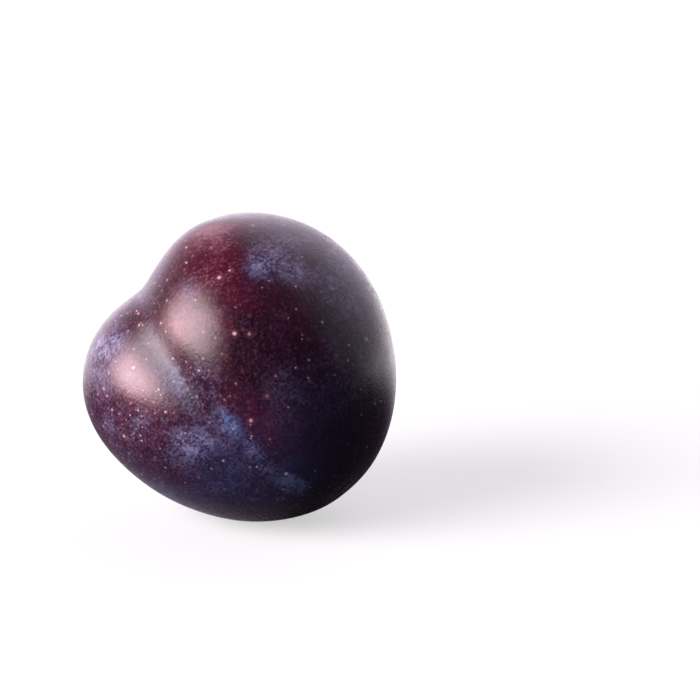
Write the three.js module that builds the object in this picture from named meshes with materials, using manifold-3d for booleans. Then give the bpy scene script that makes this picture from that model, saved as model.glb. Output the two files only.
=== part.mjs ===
// A ripe, dark-skinned plum, picked without its stalk and lying at rest.
// It grew in one piece, so it is one solid: two uneven cheeks with the suture between them, the stalk
// hollow with its scar at one end, and the small style scar at the other.
// Millimetres, +Z up. The origin is at the middle of the small flat spot that the fruit lies on.

import * as THREE from "three";
import { mergeVertices } from "three/addons/utils/BufferGeometryUtils.js";
import Module from "manifold-3d";

// Body: reaches from the fruit's centre, before its hollow and crease are pressed in.
const END_REACH = 26.9;
const SUTURE_REACH = 25.45;
const FULL_CHEEK_REACH = 26.95;
const LEAN_CHEEK_REACH = 26.3;
const STALK_END_FULLNESS = 0.09; // share by which the girth grows towards the stalk end
const CHEEK_BLEND = 0.3; // how softly one cheek's reach passes into the other's

// Stalk hollow: a wide dish with a narrower throat at its bottom.
const HOLLOW_DEPTH = 4;
const HOLLOW_SPREAD_DEG = 21;
const THROAT_DEPTH = 1.1;
const THROAT_SPREAD_DEG = 8;

// Stalk scar: a corky rim round a small pit, at the bottom of the throat.
const SCAR_RADIUS_DEG = 4.2;
const SCAR_RIM_WIDTH_DEG = 1.3;
const SCAR_RIM_HEIGHT = 0.25;

// Suture: a soft crease from the stalk hollow to the style scar, between two rounded flanks.
const SUTURE_DEPTH = 4.1;
const SUTURE_DEEPEST_AT_DEG = 68; // from the stalk end
const SUTURE_LENGTH_SPREAD_DEG = 68.3;
const SUTURE_FLANK_WIDTH_DEG = 23.4;
const SUTURE_SOFTNESS_DEG = 6; // half the width of the rounded bottom of the crease
const SUTURE_SIDE_BLEND = 0.12;

// Shoulders: a swelling on each cheek beside the suture. That of the full cheek stands nearer the stalk.
const FULL_SHOULDER = { height: 1.46, fromStalkDeg: 33.1, fromSutureDeg: 60.1, spreadDeg: 19.8 };
const LEAN_SHOULDER = { height: 2.07, fromStalkDeg: 58.5, fromSutureDeg: -47.2, spreadDeg: 29.2 };

// Style scar: a shallow dimple with a small nub in it, at the far end of the suture.
const STYLE_DIMPLE_DEPTH = 0.5;
const STYLE_DIMPLE_SPREAD_DEG = 8;
const STYLE_NUB_HEIGHT = 0.25;
const STYLE_NUB_SPREAD_DEG = 2.5;

// How the fruit lies: where its stalk end points, and how far it is rolled about that axis.
const STALK_HEADING_DEG = 147.9; // from +X towards +Y
const STALK_RISE_DEG = 40.6; // above the horizon
const SUTURE_ROLL_DEG = 101.5; // from straight below the axis
const CENTRE = new THREE.Vector3(-0.89, 0.3, 24.9); // the fruit's centre above the middle of its flat spot

// Surface grid: columns round the axis, and rows from end to end, closer together at both ends.
const COLUMNS = 64;
const ROWS = 50;
const ROW_CROWDING = 0.72;

const SKIN_COLOUR = new THREE.Color().setRGB(0.16, 0.07, 0.12, THREE.SRGBColorSpace);

const radians = THREE.MathUtils.degToRad;

// A smooth hill: 1 at no distance, falling away over the spread.
function hill(distance, spread) {
  return Math.exp(-((distance / spread) ** 2));
}

// A smooth step: 0 well below zero, 1 well above it.
function step(value, softness) {
  return 0.5 + 0.5 * Math.tanh(value / softness);
}

// The body without its features: an ellipsoid whose cheeks differ and whose girth grows to the stalk end.
function bodyReach(axial, suture, cheek) {
  const fullSide = step(cheek, CHEEK_BLEND);
  const cheekReach = THREE.MathUtils.lerp(LEAN_CHEEK_REACH, FULL_CHEEK_REACH, fullSide);
  const girth = 1 + STALK_END_FULLNESS * axial;
  return 1 / Math.hypot(axial / END_REACH, suture / (SUTURE_REACH * girth), cheek / (cheekReach * girth));
}

// How far the stalk hollow and its throat press in, at an angle from the stalk end.
function hollowDepth(fromStalk) {
  const dish = HOLLOW_DEPTH * hill(fromStalk, radians(HOLLOW_SPREAD_DEG));
  const throat = THROAT_DEPTH * hill(fromStalk, radians(THROAT_SPREAD_DEG));
  return dish + throat;
}

// How far the suture presses in. It runs down one side only. Its flanks fade away from the rounded bottom.
function sutureDepth(fromStalk, suture, cheek) {
  const softness = radians(SUTURE_SOFTNESS_DEG);
  const fromCrease = Math.asin(THREE.MathUtils.clamp(cheek, -1, 1));
  const across = Math.exp((softness - Math.hypot(fromCrease, softness)) / radians(SUTURE_FLANK_WIDTH_DEG));
  const along = hill(fromStalk - radians(SUTURE_DEEPEST_AT_DEG), radians(SUTURE_LENGTH_SPREAD_DEG));
  return SUTURE_DEPTH * across * along * step(suture, SUTURE_SIDE_BLEND);
}

// How far a shoulder stands out.
function shoulderHeight(direction, shoulder) {
  const fromStalk = radians(shoulder.fromStalkDeg);
  const fromSuture = radians(shoulder.fromSutureDeg);
  const top = new THREE.Vector3(
    Math.sin(fromStalk) * Math.cos(fromSuture),
    Math.sin(fromStalk) * Math.sin(fromSuture),
    Math.cos(fromStalk),
  );
  return shoulder.height * hill(direction.angleTo(top), radians(shoulder.spreadDeg));
}

// The scars at the two ends, as heights above the skin around them.
function scarHeight(fromStalk) {
  const rim = SCAR_RIM_HEIGHT * hill(fromStalk - radians(SCAR_RADIUS_DEG), radians(SCAR_RIM_WIDTH_DEG));
  const fromStyle = Math.PI - fromStalk;
  const dimple = STYLE_DIMPLE_DEPTH * hill(fromStyle, radians(STYLE_DIMPLE_SPREAD_DEG));
  const nub = STYLE_NUB_HEIGHT * hill(fromStyle, radians(STYLE_NUB_SPREAD_DEG));
  return rim - dimple + nub;
}

// Distance from the fruit's centre to its skin. In the fruit's own frame +Z is the stalk end, +X the suture
// side and +Y the full cheek.
function skinReach(direction) {
  const { x: suture, y: cheek, z: axial } = direction;
  const fromStalk = Math.acos(THREE.MathUtils.clamp(axial, -1, 1));
  return (
    bodyReach(axial, suture, cheek) -
    hollowDepth(fromStalk) -
    sutureDepth(fromStalk, suture, cheek) +
    shoulderHeight(direction, FULL_SHOULDER) +
    shoulderHeight(direction, LEAN_SHOULDER) +
    scarHeight(fromStalk)
  );
}

// The turn from the fruit's own frame to the way it lies.
function lyingTurn() {
  const heading = radians(STALK_HEADING_DEG);
  const rise = radians(STALK_RISE_DEG);
  const roll = radians(SUTURE_ROLL_DEG);
  const axis = new THREE.Vector3(
    Math.cos(rise) * Math.cos(heading),
    Math.cos(rise) * Math.sin(heading),
    Math.sin(rise),
  );
  const below = new THREE.Vector3(0, 0, -1).projectOnPlane(axis).normalize();
  const suture = below.applyAxisAngle(axis, roll);
  const cheek = new THREE.Vector3().crossVectors(axis, suture);
  return new THREE.Matrix4().makeBasis(suture, cheek, axis);
}

// The skin as a closed grid: a sphere's columns and rows, crowded towards both ends, at the skin's reach.
function skinGeometry() {
  const geometry = new THREE.SphereGeometry(1, COLUMNS, ROWS).rotateX(Math.PI / 2);
  geometry.deleteAttribute("normal");
  geometry.deleteAttribute("uv");
  const points = geometry.getAttribute("position");
  const direction = new THREE.Vector3();
  for (let i = 0; i < points.count; i++) {
    direction.fromBufferAttribute(points, i).normalize();
    const share = Math.acos(THREE.MathUtils.clamp(direction.z, -1, 1)) / Math.PI;
    const crowded = Math.PI * share - 0.5 * ROW_CROWDING * Math.sin(2 * Math.PI * share);
    const round = Math.atan2(direction.y, direction.x);
    const outward = Math.sin(crowded);
    direction.set(outward * Math.cos(round), outward * Math.sin(round), Math.cos(crowded));
    direction.multiplyScalar(skinReach(direction));
    points.setXYZ(i, direction.x, direction.y, direction.z);
  }
  return mergeVertices(geometry, 1e-4);
}

const wasm = await Module();
wasm.setup();

function toSolid(geometry) {
  const merged = mergeVertices(geometry, 1e-4);
  return new wasm.Manifold(
    new wasm.Mesh({
      numProp: 3,
      vertProperties: merged.getAttribute("position").array,
      triVerts: new Uint32Array(merged.index.array),
    }),
  );
}

function toGeometry(solid) {
  const mesh = solid.getMesh();
  const geometry = new THREE.BufferGeometry();
  geometry.setAttribute("position", new THREE.BufferAttribute(mesh.vertProperties, mesh.numProp));
  geometry.setIndex(new THREE.BufferAttribute(mesh.triVerts, 1));
  geometry.computeVertexNormals();
  return geometry;
}

// Everything above the surface that the fruit lies on.
function spaceAbove() {
  const side = 4 * END_REACH;
  const box = new THREE.BoxGeometry(side, side, side).translate(0, 0, side / 2);
  box.deleteAttribute("normal");
  box.deleteAttribute("uv");
  return box;
}

const lying = skinGeometry().applyMatrix4(lyingTurn()).translate(CENTRE.x, CENTRE.y, CENTRE.z);
const resting = toSolid(lying).intersect(toSolid(spaceAbove()));

const plum = new THREE.Mesh(
  toGeometry(resting),
  new THREE.MeshStandardMaterial({ color: SKIN_COLOUR, roughness: 0.35, metalness: 0 }),
);
plum.name = "plum";

const part = new THREE.Group();
part.add(plum);

export default part;
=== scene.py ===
"""Looks for a ripe, dark-skinned plum that lies at rest, in metres and in the row frame.

The fruit is one closed skin over the CAD solid, with the same form and finer relief. Its cloudy wax,
red patches, pale dots, stalk scar and style scar are laid out in the fruit's own two angles, from the
stalk and from the suture, and drawn by one procedural material. Some patches are painted light: pale
pink highlights on the two cheeks, and pale wax that is partly a painted sheen on the top rim and a
painted rim on the left edge.
"""
import bpy
import numpy as np
from mathutils import Matrix


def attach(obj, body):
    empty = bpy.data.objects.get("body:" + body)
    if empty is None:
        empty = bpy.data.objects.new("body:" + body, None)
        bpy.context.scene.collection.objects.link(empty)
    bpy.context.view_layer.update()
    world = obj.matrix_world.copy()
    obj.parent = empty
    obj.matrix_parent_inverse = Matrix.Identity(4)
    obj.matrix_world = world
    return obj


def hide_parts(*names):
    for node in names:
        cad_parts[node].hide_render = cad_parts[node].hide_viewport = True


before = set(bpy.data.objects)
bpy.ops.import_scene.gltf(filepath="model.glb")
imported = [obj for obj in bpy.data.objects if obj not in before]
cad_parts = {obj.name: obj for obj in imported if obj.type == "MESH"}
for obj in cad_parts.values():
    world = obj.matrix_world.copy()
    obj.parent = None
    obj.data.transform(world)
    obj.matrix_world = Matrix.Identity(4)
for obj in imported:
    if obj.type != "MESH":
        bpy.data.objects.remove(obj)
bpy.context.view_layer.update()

MM = 0.001

# The fruit's form, in millimetres and degrees: the same named values as in the part's source.
END_REACH = 26.9
SUTURE_REACH = 25.45
FULL_CHEEK_REACH = 26.95
LEAN_CHEEK_REACH = 26.3
STALK_END_FULLNESS = 0.09
CHEEK_BLEND = 0.3
HOLLOW_DEPTH = 4.0
HOLLOW_SPREAD = 21.0
THROAT_DEPTH = 1.1
THROAT_SPREAD = 8.0
SCAR_RADIUS = 4.2
SCAR_RIM_WIDTH = 1.3
SCAR_RIM_HEIGHT = 0.25
SUTURE_DEPTH = 4.1
SUTURE_DEEPEST_AT = 68.0
SUTURE_LENGTH_SPREAD = 68.3
SUTURE_FLANK_WIDTH = 23.4
SUTURE_SOFTNESS = 6.0
SUTURE_SIDE_BLEND = 0.12
# Each shoulder: its height, its place from the stalk and from the suture, and its spread.
FULL_SHOULDER = (1.46, 33.1, 60.1, 19.8)
LEAN_SHOULDER = (2.07, 58.5, -47.2, 29.2)
STYLE_DIMPLE_DEPTH = 0.5
STYLE_DIMPLE_SPREAD = 8.0
STYLE_NUB_HEIGHT = 0.25
STYLE_NUB_SPREAD = 2.5
STALK_HEADING = 147.9
STALK_RISE = 40.6
SUTURE_ROLL = 101.5
CENTRE = np.array((-0.89, 0.3, 24.9))

# Finer relief than the solid has, in millimetres and degrees. A number of waves, here and below, is about
# how many go once round the fruit.
SKIN_WAVE_HEIGHT = 0.05
SKIN_WAVES = 9.0
CREASE_DEPTH = 0.015
CREASE_HALF_WIDTH = 1.3
CREASE_WANDER = 0.5
CREASE_WAVES = 8.0
CREASE_BEGINS = (12.0, 30.0)
SUTURE_SIDE = (0.05, 0.3)
CORK_ROUGHNESS = 0.09
CORK_WAVES = 60.0
CORK_ENDS = (3.4, 5.6)
REST_ROUNDING = 0.22

# Smooth unevenness: how many sines it adds, the range of their pitches, and how strong the whole is.
WANDER_SINES = 14
WANDER_PITCHES = (0.55, 1.45)
WANDER_STRENGTH = 0.6

# Seeds of the random draws.
SKIN_SEED = 11
CREASE_SEED = 5
CORK_SEED = 23
EDGE_SEED = 31
FILM_SEED = 41
HOLLOW_SEED = 47
RED_SEED = 53

# The skin's grid, and the least girth that the coordinates of its streaks count with near the poles.
COLUMNS = 400
ROWS = 240
ROW_CROWDING = 0.62
LEAST_GIRTH = 0.2

# The camera, which stands where the photograph was taken from. Places are in pixels of the photograph,
# lengths in millimetres and the elevation in degrees.
PHOTO_SIDE = 700.0
PHOTO_CENTRE = 350.0
FRUIT_CENTRE_PX = (246.95, 373.5)
MM_PER_PIXEL = 0.1725
CAMERA_DISTANCE = 620.0
CAMERA_ELEVATION = 17.0
SENSOR_WIDTH = 36.0
NEAREST_SEEN = 50.0
FURTHEST_SEEN = 20000.0


def hill(distance, spread):
    """A smooth hill: 1 at no distance, exp(-(distance / spread) squared) further out."""
    return np.exp(-(distance / spread) ** 2)


def rise(value, low, high):
    """A smooth step from 0 at low to 1 at high: 3t^2 - 2t^3 of the share t between them."""
    share = np.clip((value - low) / (high - low), 0.0, 1.0)
    return share * share * (3.0 - 2.0 * share)


def towards(from_stalk, from_suture):
    """Unit directions in the fruit's own frame from its two angles in degrees.

    Their parts are sin(a)cos(b) to the suture, sin(a)sin(b) to the full cheek and cos(a) to the stalk.
    """
    a, b = np.radians(from_stalk), np.radians(from_suture)
    return np.stack([np.sin(a) * np.cos(b), np.sin(a) * np.sin(b), np.cos(a) + 0.0 * b], -1)


def apart(direction, other):
    """The angle between directions and one other direction, in degrees."""
    return np.degrees(np.arccos(np.clip(direction @ other, -1.0, 1.0)))


def wander(direction, waves, seed):
    """Smooth seeded unevenness of about -1 to 1 over the fruit.

    It is the sum of sines along random directions, each with its own pitch near the given number of waves
    and its own start, over the root of half their number, and times its strength.
    """
    draw = np.random.default_rng(seed)
    along = draw.normal(size=(WANDER_SINES, 3))
    along /= np.linalg.norm(along, axis=1, keepdims=True)
    pitch = waves * draw.uniform(*WANDER_PITCHES, WANDER_SINES)
    start = draw.uniform(0.0, 2.0 * np.pi, WANDER_SINES)
    total = np.sin((direction @ along.T) * pitch + start).sum(-1)
    return total / np.sqrt(WANDER_SINES / 2.0) * WANDER_STRENGTH


def skin_reach(direction):
    """The fruit's radius in millimetres along each direction.

    An uneven ellipsoid, less the stalk hollow and the suture, plus the shoulders beside the stalk and the
    rim of the stalk scar, less the style dimple, plus its nub, as in the part's source.
    """
    suture, cheek, stalk = direction[..., 0], direction[..., 1], direction[..., 2]
    full = 0.5 + 0.5 * np.tanh(cheek / CHEEK_BLEND)
    cheek_reach = LEAN_CHEEK_REACH * (1.0 - full) + FULL_CHEEK_REACH * full
    girth = 1.0 + STALK_END_FULLNESS * stalk
    body = 1.0 / np.sqrt(
        (stalk / END_REACH) ** 2
        + (suture / (SUTURE_REACH * girth)) ** 2
        + (cheek / (cheek_reach * girth)) ** 2
    )
    from_stalk = np.degrees(np.arccos(np.clip(stalk, -1.0, 1.0)))
    from_style = 180.0 - from_stalk
    from_seam = np.degrees(np.arcsin(np.clip(cheek, -1.0, 1.0)))
    on_suture_side = 0.5 + 0.5 * np.tanh(suture / SUTURE_SIDE_BLEND)
    hollow = HOLLOW_DEPTH * hill(from_stalk, HOLLOW_SPREAD)
    hollow = hollow + THROAT_DEPTH * hill(from_stalk, THROAT_SPREAD)
    across = np.exp((SUTURE_SOFTNESS - np.hypot(from_seam, SUTURE_SOFTNESS)) / SUTURE_FLANK_WIDTH)
    along = hill(from_stalk - SUTURE_DEEPEST_AT, SUTURE_LENGTH_SPREAD)
    crease = SUTURE_DEPTH * across * along * on_suture_side
    shoulders = 0.0
    for height, stalk_angle, suture_angle, spread in (FULL_SHOULDER, LEAN_SHOULDER):
        away = apart(direction, towards(stalk_angle, suture_angle))
        shoulders = shoulders + height * hill(away, spread)
    rim = SCAR_RIM_HEIGHT * hill(from_stalk - SCAR_RADIUS, SCAR_RIM_WIDTH)
    dimple = STYLE_DIMPLE_DEPTH * hill(from_style, STYLE_DIMPLE_SPREAD)
    nub = STYLE_NUB_HEIGHT * hill(from_style, STYLE_NUB_SPREAD)
    return body - hollow - crease + shoulders + rim - dimple + nub


def fine_relief(direction):
    """Relief too fine for the solid, in millimetres.

    Slow waves all over, less a hairline crease along the suture, which is a hill of the angle from it made
    to wander, plus the rough cork of the stalk scar, which is quick waves that end at its edge.
    """
    from_stalk = apart(direction, towards(0.0, 0.0))
    from_seam = np.degrees(np.arcsin(np.clip(direction[..., 1], -1.0, 1.0)))
    waves = SKIN_WAVE_HEIGHT * wander(direction, SKIN_WAVES, SKIN_SEED)
    creased = rise(direction[..., 0], *SUTURE_SIDE) * rise(from_stalk, *CREASE_BEGINS)
    from_crease = from_seam + CREASE_WANDER * wander(direction, CREASE_WAVES, CREASE_SEED)
    crease = CREASE_DEPTH * hill(from_crease, CREASE_HALF_WIDTH) * creased
    corky = 1.0 - rise(from_stalk, *CORK_ENDS)
    return waves - crease + CORK_ROUGHNESS * wander(direction, CORK_WAVES, CORK_SEED) * corky


def lying_turn():
    """The turn from the fruit's own frame to the row frame, as a matrix with those axes as columns.

    The stalk axis points by its heading and rise. The suture starts at the direction straight below the
    axis and is rolled about it. The full cheek is their cross product.
    """
    heading, lift, roll = np.radians((STALK_HEADING, STALK_RISE, SUTURE_ROLL))
    stalk = np.array((np.cos(lift) * np.cos(heading), np.cos(lift) * np.sin(heading), np.sin(lift)))
    below = np.array((0.0, 0.0, -1.0)) + stalk * stalk[2]
    below /= np.linalg.norm(below)
    suture = below * np.cos(roll) + np.cross(stalk, below) * np.sin(roll)
    return np.stack([suture, np.cross(stalk, suture), stalk], 1)


# Clouds of wax, each: from the stalk, from the suture, half length, half width, lean, strength.
# Angles are in degrees. Length runs from stalk to style, and lean turns it towards the full cheek.
WAX_CLOUDS = {
    "in the suture by the stalk": (62, 3, 10, 6, 0, 0.4),
    "between the highlights": (80, -5, 12, 7, -10, 0.6),
    # These four pale clouds round the highlights, and the one below the lean highlight, partly paint the
    # highlights' glow.
    "right of the full highlight": (78, 26, 9, 5, 0, 0.28),
    "above the full highlight": (61, 32, 7, 6, 0, 0.6),
    "below the full highlight": (90, 10, 9, 6, 0, 0.42),
    "above the lean highlight": (52, -16, 9, 6, 0, 0.6),
    "fan on the full cheek": (75, 55, 10, 8, 30, 1.15),
    "foot of the fan": (84, 64, 8, 4, -30, 0.7),
    "top of the fan": (67, 67, 12, 10, 10, 0.4),
    "right of the fan": (93, 77, 16, 13, 0, 0.62),
    # Partly painted sheen: pale wax on the top rim where the grazing light shines.
    "wax film and painted sheen on the top rim": (82, 92, 26, 20, 0, 0.8),
    "film over the back": (70, 135, 30, 22, 15, 0.42),
    # Partly painted reflection: a bloom patch on the left edge, made stronger to paint the pale rim there.
    "wax and painted rim on the left edge": (50, -29, 9, 8, 0, 1.4),
    "streak on the suture": (112, -1, 6.5, 4.5, -12, 0.95),
    "round the streak": (103, -6, 18, 12, -15, 0.36),
    "tail of the streak": (133, -3, 14, 2.6, -5, 0.7),
    "end of the streak": (152, -2, 4.0, 2.4, 0, 8.0),
    "low grey cloud": (105, -22, 9, 7, 30, 1.25),
    "veil on the lean cheek": (72, -34, 20, 15, 0, 0.42),
    "low on the lean cheek": (82, -44, 14, 8, 20, 0.24),
    "below the lean highlight": (86, -23, 8, 8, 0, 0.4),
    "low on the front": (118, -22, 20, 20, 0, 0.12),
    "underside": (148, -20, 32, 50, 0, 0.12),
    "under the lean cheek": (108, -62, 18, 14, 0, 0.4),
    "full cheek below": (125, 60, 18, 14, 20, 0.3),
    "right of the front": (113, 33, 16, 9, -20, 0.42),
    "rubbed front": (93, 41, 18, 14, 0, -0.65),
    "rubbed top": (66, 46, 13, 9, 0, -0.6),
    "rubbed middle": (99, 15, 12, 10, 0, -0.12),
    "rubbed spot": (82, 74, 5, 4, 0, -0.4),
    "back of the lean cheek": (75, -120, 22, 15, -20, 0.55),
    "opposite the suture": (100, 175, 26, 12, 10, 0.5),
}
MOST_WAX = 1.3

# A thin film lies all over, and a ring of wax round the stalk hollow.
WAX_FILM = 0.07
FILM_WAVES = 4.0
HOLLOW_WAX = 0.85
HOLLOW_WAX_AT = 25.0
HOLLOW_WAX_SPREAD = 15.0
HOLLOW_WAX_CHANGE = 0.25
HOLLOW_WAX_WAVES = 9.0

# How far what is laid out wanders, as a share of the radius.
EDGE_UNEVENNESS = 0.05
EDGE_WAVES = 7.0

# Patches where the skin under the wax is redder, written as the clouds are. The two in the highlights
# are painted highlight, and the two round the full highlight are partly its painted glow.
RED_PATCHES = {
    "top of the full cheek": (62, 48, 13, 9, 0, 0.95),
    "below the top": (78, 41, 12, 5, 0, 0.8),
    "lip of the stalk hollow": (43, 58, 10, 16, 0, 1.4),
    # Painted highlight: bright, pale pink skin where the two highlights fall.
    "painted highlight on the lean cheek": (70, -14, 15, 9, 22, 1.75),
    "painted highlight on the full cheek": (71, 19, 16, 13, 0, 1.4),
    # Partly painted glow of the full highlight: redder, brighter skin round it.
    "right of the full highlight": (79, 30, 9, 6, 0, 0.7),
    "above the full highlight": (62, 32, 7, 7, 0, 0.7),
    "below the lean highlight": (89, -24, 6, 8, 20, 0.6),
    "lean cheek": (68, -30, 18, 14, 0, 0.45),
    "middle": (99, 12, 18, 14, 0, 0.38),
    "right of the streak": (117, 14, 14, 8, 0, 0.5),
    "right of the fan": (82, 74, 6, 5, 0, 0.5),
    "back of the full cheek": (95, 120, 22, 16, 0, 0.6),
    "by the style": (150, -60, 12, 16, 0, 0.4),
}
MOST_RED = 2.0
RED_CHANGE = 0.12
RED_WAVES = 5.0

# Where the wax looks blue rather than violet, written as the clouds are.
BLUE_PLACES = {
    "streak on the suture": (113, 0, 9, 4.5, -10, 0.9),
    "end of the streak": (152, 0, 8, 7, 0, 1.0),
    "fan on the full cheek": (77, 57, 9, 9, 0, 0.3),
    "underside": (150, 0, 34, 60, 0, 0.8),
    "low on the front": (120, -24, 18, 18, 0, 0.4),
    "below the lean cheek": (105, -60, 16, 16, 0, 0.5),
    "between the highlights": (80, -5, 8, 6, 0, 0.6),
    "over the back": (90, 150, 30, 20, 0, 0.3),
}

# Where the pale dots crowd together, written as the clouds are.
DOT_CROWDS = {
    "lean cheek": (74, -26, 24, 20, 0, 1.0),
    "down the suture": (95, 2, 28, 12, 0, 0.55),
    "by the hollow": (45, 20, 16, 26, 0, 0.4),
    "back of the lean cheek": (85, -110, 30, 26, 0, 0.7),
}
FEWEST_DOTS = 0.2
LEAST_LENGTH = 1e-9

# The scars, each: its place from the stalk, where it begins to fade and has gone, and how far its ragged
# edge wanders, all in degrees, then the number of waves and the seed.
STALK_SCAR = (0.0, 3.6, 5.2, 0.5, 50.0, 61)
STYLE_SCAR = (180.0, 1.5, 3.0, 0.3, 70.0, 67)


def laid_out(direction, places):
    """The sum of oval hills at the named places, each of its own strength in its middle.

    A hill is its strength times exp(-(along / half length)^2 - (across / half width)^2), where along and
    across are the angle from its middle, split along its own length and across it.
    """
    total = np.zeros(direction.shape[:-1])
    for from_stalk, from_suture, half_length, half_width, lean, strength in places.values():
        middle = towards(float(from_stalk), float(from_suture))
        down = towards(from_stalk + 90.0, float(from_suture))
        round_it = np.cross(middle, down)
        angle = apart(direction, middle)
        flat = np.stack([direction @ down, direction @ round_it], -1)
        length = np.maximum(np.linalg.norm(flat, axis=-1), LEAST_LENGTH)
        flat *= (angle / length)[..., None]
        turn = np.radians(lean)
        along = flat[..., 0] * np.cos(turn) + flat[..., 1] * np.sin(turn)
        across = flat[..., 1] * np.cos(turn) - flat[..., 0] * np.sin(turn)
        total += strength * np.exp(-(along / half_length) ** 2 - (across / half_width) ** 2)
    return total


def unsettled(direction, amount, waves, seed):
    """The directions moved by smooth unevenness, so that what is laid out on them has uneven edges."""
    parts = [wander(direction, waves, seed + axis) for axis in range(3)]
    moved = direction + amount * np.stack(parts, -1)
    return moved / np.linalg.norm(moved, axis=-1, keepdims=True)


def on_scar(direction, scar):
    """1 on a scar at one end of the fruit and 0 away from it, with a ragged edge."""
    from_stalk, fades_from, gone_by, ragged, waves, seed = scar
    away = apart(direction, towards(from_stalk, 0.0)) + ragged * wander(direction, waves, seed)
    return 1.0 - rise(away, fades_from, gone_by)


def skin_layout(direction):
    """The fields that the material reads at each point, none of them below 0.

    Wax is the larger of the laid out clouds and the uneven ring round the stalk hollow, plus a thin film.
    Red, blue and dots are laid out too, the hollow is a hill, and the two scars are ragged discs.
    """
    uneven = unsettled(direction, EDGE_UNEVENNESS, EDGE_WAVES, EDGE_SEED)
    from_stalk = apart(uneven, towards(0.0, 0.0))
    film = WAX_FILM * (1.0 + wander(direction, FILM_WAVES, FILM_SEED))
    ring = HOLLOW_WAX * hill(from_stalk - HOLLOW_WAX_AT, HOLLOW_WAX_SPREAD)
    ring *= 1.0 - HOLLOW_WAX_CHANGE * (1.0 - wander(direction, HOLLOW_WAX_WAVES, HOLLOW_SEED))
    wax = np.maximum(laid_out(uneven, WAX_CLOUDS), ring) + film
    red = laid_out(uneven, RED_PATCHES) + RED_CHANGE * wander(direction, RED_WAVES, RED_SEED)
    return {
        "wax": np.clip(wax, 0.0, MOST_WAX),
        "red": np.clip(red, 0.0, MOST_RED),
        "blue": np.clip(laid_out(uneven, BLUE_PLACES), 0.0, 1.0),
        "dots": np.clip(laid_out(uneven, DOT_CROWDS) + FEWEST_DOTS, 0.0, 1.0),
        "hollow": hill(from_stalk, HOLLOW_SPREAD),
        "stalk_scar": on_scar(direction, STALK_SCAR),
        "style_scar": on_scar(direction, STYLE_SCAR),
    }


def fruit():
    """The fruit's skin as one closed mesh object, with its fields as point attributes.

    Rows run from the stalk pole to the style pole and crowd towards both. Each pole is one point. What
    would lie under the floor is lifted onto it by half the sum of z and the root of z^2 + rounding^2.
    """
    share = np.arange(1, ROWS) / ROWS
    row_angles = 180.0 * share - np.degrees(0.5 * ROW_CROWDING * np.sin(2.0 * np.pi * share))
    column_angles = 360.0 * np.arange(COLUMNS) / COLUMNS - 180.0
    grid = towards(*np.meshgrid(row_angles, column_angles, indexing="ij")).reshape(-1, 3)
    poles = np.array(((0.0, 0.0, 1.0), (0.0, 0.0, -1.0)))
    direction = np.concatenate([grid, poles])
    own = direction * (skin_reach(direction) + fine_relief(direction))[:, None]
    place = own @ lying_turn().T + CENTRE
    place[:, 2] = 0.5 * (place[:, 2] + np.sqrt(place[:, 2] ** 2 + REST_ROUNDING ** 2))

    index = np.arange(grid.shape[0]).reshape(ROWS - 1, COLUMNS)
    after = np.roll(index, -1, axis=1)
    stalk_pole, style_pole = grid.shape[0], grid.shape[0] + 1
    quads = np.stack([index[:-1], index[1:], after[1:], after[:-1]], -1).reshape(-1, 4)
    at_stalk = np.stack([np.full(COLUMNS, stalk_pole), index[0], after[0]], -1)
    at_style = np.stack([np.full(COLUMNS, style_pole), after[-1], index[-1]], -1)
    faces = quads.tolist() + at_stalk.tolist() + at_style.tolist()

    mesh = bpy.data.meshes.new("plum_skin")
    mesh.from_pydata((place * MM).tolist(), [], faces)
    mesh.polygons.foreach_set("use_smooth", np.ones(len(faces), dtype=bool))
    for name, values in skin_layout(direction).items():
        mesh.attributes.new(name, "FLOAT", "POINT").data.foreach_set("value", values.astype(np.float32))
    # Coordinates for streaks that run from stalk to style or round the fruit: the direction's two cross
    # parts as they are on a cylinder, drawn in near the poles, and the angle from the stalk.
    girth = np.linalg.norm(direction[:, :2], axis=1, keepdims=True)
    cross = direction[:, :2] / np.maximum(girth, LEAST_GIRTH)
    meridian = np.concatenate([cross, np.arccos(np.clip(direction[:, 2:], -1, 1))], 1)
    mesh.attributes.new("meridian", "FLOAT_VECTOR", "POINT").data.foreach_set(
        "vector", meridian.astype(np.float32).ravel()
    )
    mesh.update()
    piece = bpy.data.objects.new("plum_fruit", mesh)
    bpy.context.scene.collection.objects.link(piece)
    return piece


def node(tree, kind, links=(), values=(), **settings):
    """Adds a node, sets its settings and values, and links sockets to its inputs."""
    made = tree.nodes.new(kind)
    for name, value in settings.items():
        setattr(made, name, value)
    for key, value in dict(values).items():
        made.inputs[key].default_value = value
    for key, source in dict(links).items():
        tree.links.new(source, made.inputs[key])
    return made


def field(tree, name):
    """A float attribute of the mesh."""
    return node(tree, "ShaderNodeAttribute", attribute_name=name).outputs["Fac"]


def math(tree, operation, *terms):
    """A Math node over two or three terms, each a number or a socket."""
    made = node(tree, "ShaderNodeMath", operation=operation)
    for slot, term in zip(made.inputs, terms):
        if isinstance(term, (int, float)):
            slot.default_value = float(term)
        else:
            tree.links.new(term, slot)
    return made.outputs[0]


def between(tree, value, low, high, start=0.0, end=1.0, shape="SMOOTHSTEP"):
    """A step of a value from start at low to end at high, smooth unless its shape is LINEAR.

    Low and high are numbers or sockets.
    """
    made = node(tree, "ShaderNodeMapRange", {"Value": value}, interpolation_type=shape)
    for key, term in {"From Min": low, "From Max": high, "To Min": start, "To Max": end}.items():
        if isinstance(term, (int, float)):
            made.inputs[key].default_value = term
        else:
            tree.links.new(term, made.inputs[key])
    return made.outputs["Result"]


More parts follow.
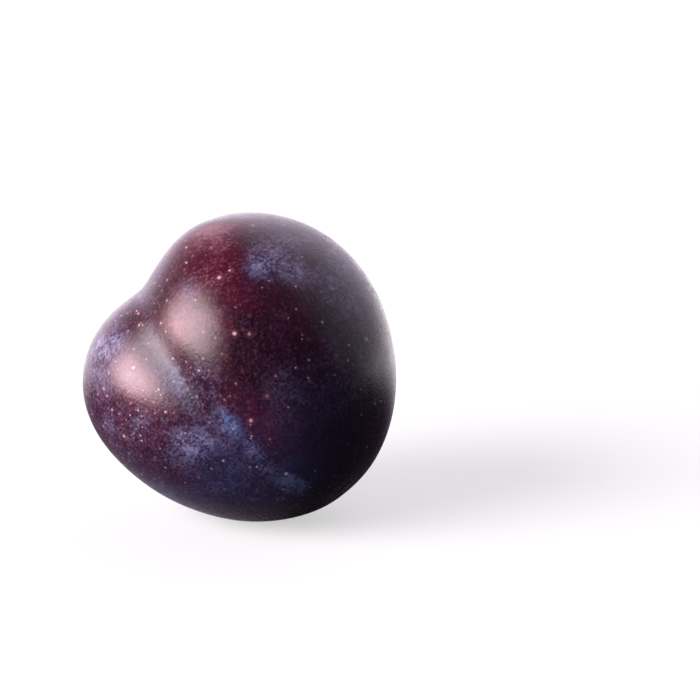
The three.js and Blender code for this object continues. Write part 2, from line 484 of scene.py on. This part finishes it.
def mixed(tree, share, first, second):
    """A mix of two colours, each a tuple or a socket, by a share that is a number or a socket."""
    made = node(tree, "ShaderNodeMix", data_type="RGBA", clamp_factor=True)
    for slot, term in ((made.inputs[0], share), (made.inputs[6], first), (made.inputs[7], second)):
        if isinstance(term, tuple):
            slot.default_value = (*term, 1.0)
        elif isinstance(term, (int, float)):
            slot.default_value = term
        else:
            tree.links.new(term, slot)
    return made.outputs[2]


def clouds(tree, vector, pitch, detail, roughness, distortion):
    """Fractal noise of about 0 to 1, with features about one pitch apart in the vector's units."""
    values = {"Scale": 1.0 / pitch, "Detail": detail, "Roughness": roughness, "Distortion": distortion}
    return node(tree, "ShaderNodeTexNoise", {"Vector": vector}, values).outputs["Fac"]


def stirred(tree, value, noise, amount):
    """A value raised and lowered by a noise: value + amount * (noise - 0.5)."""
    return math(tree, "MULTIPLY_ADD", math(tree, "SUBTRACT", noise, 0.5), amount, value)


def stretched(tree, vector, scale):
    """A vector whose three parts are each multiplied by their own scale."""
    values = {"Scale": scale}
    return node(tree, "ShaderNodeMapping", {"Vector": vector}, values, vector_type="POINT").outputs["Vector"]


# Colours, linear.
WHITE = (1.0, 1.0, 1.0)
DARK_SKIN = (0.0085, 0.0006, 0.0040)
PLUM_SKIN = (0.018, 0.0013, 0.0095)
RED_SKIN = (0.046, 0.0011, 0.0100)
# Bright and pale pink skin: painted highlight where the red patches lie in the two highlights, real skin
# colour elsewhere.
BRIGHT_SKIN_AND_PAINTED_HIGHLIGHT = (0.150, 0.018, 0.042)
PAINTED_HIGHLIGHT_AND_BLUSH = (0.29, 0.205, 0.235)
PINK_SKIN = (0.26, 0.10, 0.12)
HAZE = (0.034, 0.017, 0.046)
BLUE_HAZE = (0.010, 0.014, 0.058)
THIN_WAX = (0.085, 0.046, 0.100)
THICK_WAX = (0.22, 0.19, 0.32)
BLUE_WAX = (0.090, 0.125, 0.270)
HOLLOW_BLUSH = (0.20, 0.10, 0.22)
DOT_COLOUR = (0.64, 0.47, 0.49)
DOT_HALO = (0.14, 0.030, 0.050)
CORK_PALE = (0.33, 0.22, 0.12)
CORK_DARK = (0.07, 0.035, 0.022)
SHEEN_TINT = (0.90, 0.80, 0.95)

# Noises, each: pitch, detail, roughness and distortion. Pitches are in metres. Those of the streaks, which
# run from stalk to style, and of the brush marks, which run round the fruit, are in shares of its radius,
# and a small scale of the coordinates draws the marks out along their run.
SLOW_NOISE = (0.014, 3.0, 0.5, 0.3)
MOTTLE_NOISE = (0.0022, 6.0, 0.62, 0.0)
GRAIN_NOISE = (0.0005, 2.0, 0.6, 0.0)
PUFF_NOISE = (0.0032, 9.0, 0.70, 0.3)
CORK_NOISE = (0.0009, 5.0, 0.7, 0.0)
STREAK_NOISE = (0.045, 6.0, 0.7, 0.2)
STREAK_STRETCH = (1.0, 1.0, 0.16)
BRUSH_NOISE = (0.014, 3.0, 0.6, 0.6)
BRUSH_STRETCH = (0.16, 0.16, 1.0)

# Steps over which one look passes into the next, each: where it begins and where it is complete.
PLUM_STEP = (0.38, 0.62)
RED_STEP = (0.1, 0.9)
BRIGHT_SKIN_AND_PAINTED_HIGHLIGHT_STEP = (0.9, 1.7)
PAINTED_HIGHLIGHT_AND_BLUSH_STEP = (0.9, 2.7)
SPECKLE_STEP = (0.42, 0.72)
CROWD_STEP = (0.5, 0.75)
HAZE_STEP = (0.04, 0.9)
COVER_STEP = (0.05, 1.6)
THICK_STEP = (0.2, 1.8)
CORK_STEP = (0.35, 0.65)

# How much each noise stirs the red patches, and how much of the speckles and of the crowded dots shows.
RED_MOTTLE = 1.5
RED_SLOW = 1.2
PAINTED_HIGHLIGHT_AND_BLUSH_GRAIN = 2.2
SPECKLE_SHARE = 0.35
CROWD_SHARE = 0.4

# The pale dots come in two kinds, each: the pitch of their cells, smallest and largest radius, in metres.
# Core and halo are in shares of a dot's radius.
DOT_SIZES = ((0.00280, 0.00026, 0.00050), (0.00110, 0.00014, 0.00028))
DOT_CORE = 0.25
DOT_STRENGTHS = (0.45, 1.0)
HALO_REACH = 2.4
HALO_SHARE = 0.35
BARE_DOT_SHARE = 0.85
WAXED_DOT_SHARE = 0.45

# Wax: how far each noise breaks up the clouds and the haze, and how much each covers at the most. The
# skin counts as fully waxed from the given cover on.
WISP_BASE = 0.88
WISP_POWER = 1.4
WISP_PUFF = 3.2
WISP_BRUSH = 1.7
WISP_STREAK = 1.3
WISP_GRAIN = 2.4
HAZE_PUFF = 0.5
HAZE_BRUSH = 0.12
HAZE_GRAIN = 0.25
MOST_HAZE = 0.55
BLUE_HAZE_SHARE = 0.65
MOST_COVER = 0.88
WAXED_COVER = 0.85
BLUE_WAX_SHARE = 0.9
HOLLOW_BLUSH_SHARE = 0.5

# Gloss: roughness of bare and of waxed skin, how far it varies, and the scars' roughness.
BARE_ROUGHNESS = 0.25
WAXED_ROUGHNESS = 0.42
ROUGHNESS_MOTTLE = 0.30
ROUGHNESS_GRAIN = 0.16
SCAR_ROUGHNESS = 0.85
SKIN_IOR = 1.47
SKIN_SPECULAR = 0.36
SHEEN_WEIGHT = 0.17
SHEEN_ROUGHNESS = 0.35

# Low relief: how high each part stands, as a share of the whole height in metres.
RELIEF_DOT = 0.5
RELIEF_MOTTLE = 0.35
RELIEF_GRAIN = 0.28
RELIEF_BRUSH = 0.2
RELIEF_COVER = 0.25
RELIEF_HEIGHT = 0.00018
RELIEF_STRENGTH = 0.5


def bare_skin(tree, slow, mottle, grain, red, dots):
    """The colour under the wax: slow patches of dark skin, red patches with broken edges, and speckles.

    Redness is the red field, stirred by the mottling and by the slow noise. As it rises the skin turns red
    and then bright, and in its grain pale. Where the red patches lie in the two highlights, this bright and
    pale pink is a painted highlight. Where the dots crowd, the grain is pink.
    """
    skin = mixed(tree, between(tree, slow, *PLUM_STEP), DARK_SKIN, PLUM_SKIN)
    redness = stirred(tree, stirred(tree, red, mottle, RED_MOTTLE), slow, RED_SLOW)
    skin = mixed(tree, between(tree, redness, *RED_STEP), skin, RED_SKIN)
    # Bright, then pale pink in the grain: painted highlight in the two highlights, real redder skin
    # elsewhere.
    skin = mixed(tree, between(tree, redness, *BRIGHT_SKIN_AND_PAINTED_HIGHLIGHT_STEP), skin, BRIGHT_SKIN_AND_PAINTED_HIGHLIGHT)
    highlight_and_blush = stirred(tree, redness, grain, PAINTED_HIGHLIGHT_AND_BLUSH_GRAIN)
    skin = mixed(tree, between(tree, highlight_and_blush, *PAINTED_HIGHLIGHT_AND_BLUSH_STEP), skin, PAINTED_HIGHLIGHT_AND_BLUSH)
    speckle = math(tree, "MULTIPLY", between(tree, grain, *SPECKLE_STEP), SPECKLE_SHARE)
    skin = mixed(tree, speckle, skin, RED_SKIN)
    crowded = math(tree, "MULTIPLY", dots, CROWD_SHARE)
    crowd = math(tree, "MULTIPLY", between(tree, grain, *CROWD_STEP), crowded)
    return mixed(tree, crowd, skin, PINK_SKIN)


def pale_dots(tree, place, dots):
    """Masks of the dots and of the red halos round them.

    A dot is a ball round the middle of a random cell, seen where the skin cuts it. A cell has one when its
    random number is below the dots field, and its size and strength are random too.
    """
    dot, halo = 0.0, 0.0
    for pitch, smallest, largest in DOT_SIZES:
        cells = node(
            tree, "ShaderNodeTexVoronoi", {"Vector": place}, {"Scale": 1.0 / pitch, "Randomness": 1.0},
            feature="F1", voronoi_dimensions="3D",
        )
        random = node(tree, "ShaderNodeSeparateColor", {"Color": cells.outputs["Color"]})
        chosen = math(tree, "LESS_THAN", random.outputs["Red"], dots)
        size = between(tree, random.outputs["Green"], 0.0, 1.0, smallest / pitch, largest / pitch)
        strength = between(tree, random.outputs["Blue"], 0.0, 1.0, *DOT_STRENGTHS)
        away = cells.outputs["Distance"]
        disc = between(tree, away, math(tree, "MULTIPLY", size, DOT_CORE), size, 1.0, 0.0)
        disc = math(tree, "MULTIPLY", math(tree, "MULTIPLY", disc, chosen), strength)
        ring = between(tree, away, size, math(tree, "MULTIPLY", size, HALO_REACH), 1.0, 0.0)
        dot = math(tree, "MAXIMUM", disc, dot)
        halo = math(tree, "MAXIMUM", math(tree, "MULTIPLY", ring, chosen), halo)
    return dot, halo


def wax_masks(tree, wax, blue, puff, streak, brush, grain):
    """The thickness of the wax clouds, how far they cover the skin, and how far the haze does.

    The thickness is the wax field times a power of its wisps, which are a base stirred by four noises. The
    haze follows the wax field, stirred less, and is at least a share of the blue field.
    """
    wisps = stirred(tree, WISP_BASE, puff, WISP_PUFF)
    wisps = stirred(tree, wisps, brush, WISP_BRUSH)
    wisps = stirred(tree, wisps, streak, WISP_STREAK)
    wisps = stirred(tree, wisps, grain, WISP_GRAIN)
    wisps = math(tree, "POWER", math(tree, "MAXIMUM", wisps, 0.0), WISP_POWER)
    thickness = math(tree, "MULTIPLY", wax, wisps)
    cover = between(tree, thickness, *COVER_STEP, 0.0, MOST_COVER, "LINEAR")
    film = stirred(tree, wax, puff, HAZE_PUFF)
    film = stirred(tree, film, brush, HAZE_BRUSH)
    film = stirred(tree, film, grain, HAZE_GRAIN)
    haze = between(tree, film, *HAZE_STEP, 0.0, MOST_HAZE)
    haze = math(tree, "MAXIMUM", haze, math(tree, "MULTIPLY", blue, BLUE_HAZE_SHARE))
    return thickness, cover, haze


def skin_material():
    """The plum's skin: mottled dark skin, red patches with painted highlights in them, dots, a broken film
    of wax, and the two scars.
    """
    made = bpy.data.materials.new("plum_skin")
    made.use_nodes = True
    tree = made.node_tree
    tree.nodes.clear()
    place = node(tree, "ShaderNodeTexCoord").outputs["Object"]
    meridian = node(tree, "ShaderNodeAttribute", attribute_name="meridian").outputs["Vector"]
    wax, red, blue, dots = (field(tree, name) for name in ("wax", "red", "blue", "dots"))
    hollow, stalk_scar, style_scar = (field(tree, name) for name in ("hollow", "stalk_scar", "style_scar"))
    slow, mottle, grain, puff = (
        clouds(tree, place, *noise) for noise in (SLOW_NOISE, MOTTLE_NOISE, GRAIN_NOISE, PUFF_NOISE)
    )
    streak = clouds(tree, stretched(tree, meridian, STREAK_STRETCH), *STREAK_NOISE)
    brush = clouds(tree, stretched(tree, meridian, BRUSH_STRETCH), *BRUSH_NOISE)

    skin = bare_skin(tree, slow, mottle, grain, red, dots)
    dot, halo = pale_dots(tree, place, dots)
    skin = mixed(tree, math(tree, "MULTIPLY", halo, HALO_SHARE), skin, DOT_HALO)

    # Wax over the skin: the haze, then the clouds, which are paler where they are thick.
    thickness, cover, haze = wax_masks(tree, wax, blue, puff, streak, brush, grain)
    colour = mixed(tree, haze, skin, mixed(tree, blue, HAZE, BLUE_HAZE))
    thick = between(tree, thickness, *THICK_STEP, 0.0, 1.0, "LINEAR")
    wax_colour = mixed(tree, thick, THIN_WAX, THICK_WAX)
    wax_colour = mixed(tree, math(tree, "MULTIPLY", blue, BLUE_WAX_SHARE), wax_colour, BLUE_WAX)
    wax_colour = mixed(tree, math(tree, "MULTIPLY", hollow, HOLLOW_BLUSH_SHARE), wax_colour, HOLLOW_BLUSH)
    colour = mixed(tree, cover, colour, wax_colour)
    dot_share = between(tree, cover, 0.0, WAXED_COVER, BARE_DOT_SHARE, WAXED_DOT_SHARE)
    colour = mixed(tree, math(tree, "MULTIPLY", dot, dot_share), colour, DOT_COLOUR)

    # Scars: cork where the stalk broke off, and a dry point where the flower's style was.
    cork = mixed(tree, between(tree, clouds(tree, place, *CORK_NOISE), *CORK_STEP), CORK_DARK, CORK_PALE)
    scarred = math(tree, "MAXIMUM", stalk_scar, style_scar)
    colour = mixed(tree, scarred, colour, cork)

    # Gloss: bare skin shines, and wax and cork dull it.
    roughness = between(tree, cover, 0.0, WAXED_COVER, BARE_ROUGHNESS, WAXED_ROUGHNESS)
    roughness = stirred(tree, roughness, mottle, ROUGHNESS_MOTTLE)
    roughness = stirred(tree, roughness, grain, ROUGHNESS_GRAIN)
    roughness = math(tree, "MAXIMUM", roughness, math(tree, "MULTIPLY", scarred, SCAR_ROUGHNESS))

    # Low relief: the dots stand up a little, the skin has fine grain, and the wax lies on it.
    height = math(tree, "MULTIPLY", mottle, RELIEF_MOTTLE)
    height = math(tree, "MULTIPLY_ADD", dot, RELIEF_DOT, height)
    height = math(tree, "MULTIPLY_ADD", grain, RELIEF_GRAIN, height)
    height = math(tree, "MULTIPLY_ADD", brush, RELIEF_BRUSH, height)
    height = math(tree, "MULTIPLY_ADD", cover, RELIEF_COVER, height)
    bump = node(
        tree, "ShaderNodeBump", {"Height": height}, {"Strength": RELIEF_STRENGTH, "Distance": RELIEF_HEIGHT}
    )

    shader = node(
        tree, "ShaderNodeBsdfPrincipled",
        {"Base Color": colour, "Roughness": roughness, "Normal": bump.outputs["Normal"]},
        {
            "IOR": SKIN_IOR,
            "Specular IOR Level": SKIN_SPECULAR,
            "Sheen Weight": SHEEN_WEIGHT,
            "Sheen Roughness": SHEEN_ROUGHNESS,
            "Sheen Tint": (*SHEEN_TINT, 1.0),
        },
    )
    node(tree, "ShaderNodeOutputMaterial", {"Surface": shader.outputs["BSDF"]})
    return made


# The floor: white to the camera, with only a soft shadow. To the fruit it is a dark table near it and a
# white sweep behind it, so that the fruit's underside stays dark and its edges catch a pale rim. Lengths
# are in metres.
FLOOR_HALF_SIZE = 3.0
FLOOR_WHITE = (0.42, 0.42, 0.425)
FLOOR_GLOW = 0.55
TABLE_DARK = (0.035, 0.035, 0.05)
SWEEP_WHITE = (0.9, 0.9, 0.92)
SWEEP_FROM = 0.02
SWEEP_TO = 0.12
SWEEP_GLOW = 0.9


def floor_material():
    """The floor's two looks, chosen by whether the camera or the fruit sees it.

    The fruit's is dark in front and passes into a white glow behind, by a smooth step of y.
    """
    made = bpy.data.materials.new("floor")
    made.use_nodes = True
    tree = made.node_tree
    tree.nodes.clear()
    matt = node(tree, "ShaderNodeBsdfDiffuse", values={"Color": (*FLOOR_WHITE, 1.0)})
    glow = node(tree, "ShaderNodeEmission", values={"Color": (*WHITE, 1.0), "Strength": FLOOR_GLOW})
    seen = node(tree, "ShaderNodeAddShader", {0: matt.outputs[0], 1: glow.outputs[0]})

    place = node(tree, "ShaderNodeTexCoord").outputs["Object"]
    back = node(tree, "ShaderNodeSeparateXYZ", {"Vector": place}).outputs["Y"]
    sweep = between(tree, back, SWEEP_FROM, SWEEP_TO)
    table = node(tree, "ShaderNodeBsdfDiffuse", {"Color": mixed(tree, sweep, TABLE_DARK, SWEEP_WHITE)})
    strength = math(tree, "MULTIPLY", sweep, SWEEP_GLOW)
    shine = node(tree, "ShaderNodeEmission", {"Strength": strength}, {"Color": (*WHITE, 1.0)})
    unseen = node(tree, "ShaderNodeAddShader", {0: table.outputs[0], 1: shine.outputs[0]})

    by_camera = node(tree, "ShaderNodeLightPath").outputs["Is Camera Ray"]
    chosen = node(tree, "ShaderNodeMixShader", {0: by_camera, 1: unseen.outputs[0], 2: seen.outputs[0]})
    node(tree, "ShaderNodeOutputMaterial", {"Surface": chosen.outputs[0]})
    return made


def floor():
    """A large flat square at z = 0."""
    half = FLOOR_HALF_SIZE
    corners = [(-half, -half, 0.0), (half, -half, 0.0), (half, half, 0.0), (-half, half, 0.0)]
    mesh = bpy.data.meshes.new("floor")
    mesh.from_pydata(corners, [], [(0, 1, 2, 3)])
    mesh.materials.append(floor_material())
    piece = bpy.data.objects.new("floor", mesh)
    bpy.context.scene.collection.objects.link(piece)


# The studio: a feathered soft box to the left, a little in front and above, a weak fill high at the back on
# the right, and pale surroundings behind. Directions point at the lights, and the box's angles are in
# degrees. The other steps are cosines, or parts of the direction looked along.
KEY_DIRECTION = np.array((-0.87, -0.35, 0.32))
KEY_CORE = 2.0
KEY_EDGE = 35.5
KEY_BRIGHTNESS = 15.5
KEY_COLOUR = (1.0, 0.91, 0.95)
FILL_DIRECTION = np.array((0.75, 0.45, 0.50))
FILL_FROM = 0.5
FILL_TO = 1.0
FILL_BRIGHTNESS = 0.9
ROOM_TINT = (0.99, 0.87, 1.0)
ROOM_DARK = 0.018
ROOM_PALE = 1.9
ROOM_FROM = 0.08
ROOM_TO = 0.95
ROOM_LEAN = -0.9
ROOM_LOWER = -0.5
OVERHEAD_FROM = 0.2
OVERHEAD_TO = 1.0
OVERHEAD_BRIGHTNESS = 0.05


def cosine_to(tree, way, direction):
    """The cosine of the angle between the direction looked along and one other direction."""
    unit = tuple(direction / np.linalg.norm(direction))
    return node(tree, "ShaderNodeVectorMath", {0: way}, {1: unit}, operation="DOT_PRODUCT").outputs["Value"]


def studio():
    """The world: white to the camera, and to the fruit a soft box, a fill and a room that is pale behind.

    The box and the fill fade by smooth steps of the cosine of the angle from their middles. The room rises
    from dark to pale by a smooth step of y, is paler by its lean on the box's side, darker higher up, and
    has a faint light overhead and a violet tint.
    """
    world = bpy.data.worlds.new("room")
    bpy.context.scene.world = world
    world.use_nodes = True
    tree = world.node_tree
    tree.nodes.clear()
    way = node(tree, "ShaderNodeTexCoord").outputs["Generated"]
    parts = node(tree, "ShaderNodeSeparateXYZ", {"Vector": way})
    behind = between(tree, parts.outputs["Y"], ROOM_FROM, ROOM_TO, ROOM_DARK, ROOM_PALE)
    lean = math(tree, "MULTIPLY_ADD", parts.outputs["X"], ROOM_LEAN, 1.0)
    lower = math(tree, "MULTIPLY_ADD", parts.outputs["Z"], ROOM_LOWER, 1.0)
    behind = math(tree, "MULTIPLY", math(tree, "MULTIPLY", behind, lean), lower)
    overhead = between(tree, parts.outputs["Z"], OVERHEAD_FROM, OVERHEAD_TO, 0.0, OVERHEAD_BRIGHTNESS)
    fill = between(tree, cosine_to(tree, way, FILL_DIRECTION), FILL_FROM, FILL_TO, 0.0, FILL_BRIGHTNESS)
    room = math(tree, "ADD", math(tree, "ADD", behind, overhead), fill)
    edge, core = (float(np.cos(np.radians(angle))) for angle in (KEY_EDGE, KEY_CORE))
    box = between(tree, cosine_to(tree, way, KEY_DIRECTION), edge, core, 0.0, KEY_BRIGHTNESS)

    by_camera = node(tree, "ShaderNodeLightPath").outputs["Is Camera Ray"]
    strength = math(tree, "MAXIMUM", by_camera, room)
    tint = mixed(tree, by_camera, ROOM_TINT, WHITE)
    around = node(tree, "ShaderNodeBackground", {"Strength": strength, "Color": tint})
    unseen = math(tree, "MULTIPLY", box, math(tree, "SUBTRACT", 1.0, by_camera))
    key = node(tree, "ShaderNodeBackground", {"Strength": unseen}, {"Color": (*KEY_COLOUR, 1.0)})
    both = node(tree, "ShaderNodeAddShader", {0: around.outputs[0], 1: key.outputs[0]})
    node(tree, "ShaderNodeOutputWorld", {"Surface": both.outputs[0]})


def camera():
    """The camera, from the fruit's place in the photograph.

    It looks down by its elevation. It stands back from the fruit's centre by its distance, and is moved
    sideways and upwards so that the centre falls on its pixel without any shift of the lens.
    """
    tilt = np.radians(CAMERA_ELEVATION)
    right = np.array((1.0, 0.0, 0.0))
    back = np.array((0.0, -np.cos(tilt), np.sin(tilt)))
    up = np.cross(back, right)
    aside = (FRUIT_CENTRE_PX[0] - PHOTO_CENTRE) * MM_PER_PIXEL
    above = (PHOTO_CENTRE - FRUIT_CENTRE_PX[1]) * MM_PER_PIXEL
    location = CENTRE + back * CAMERA_DISTANCE - right * aside - up * above
    data = bpy.data.cameras.new("camera")
    data.sensor_width = SENSOR_WIDTH
    data.lens = CAMERA_DISTANCE / MM_PER_PIXEL * SENSOR_WIDTH / PHOTO_SIDE
    data.clip_start = NEAREST_SEEN * MM
    data.clip_end = FURTHEST_SEEN * MM
    eye = bpy.data.objects.new("camera", data)
    matrix = np.eye(4)
    matrix[:3, :3] = np.stack([right, up, back], 1)
    matrix[:3, 3] = location * MM
    eye.matrix_world = Matrix(matrix.tolist())
    bpy.context.scene.collection.objects.link(eye)
    bpy.context.scene.camera = eye


camera()
plum = fruit()
plum.data.materials.append(skin_material())
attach(plum, "root")
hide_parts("plum")
floor()
studio()
bpy.context.scene.view_settings.view_transform = "Standard"
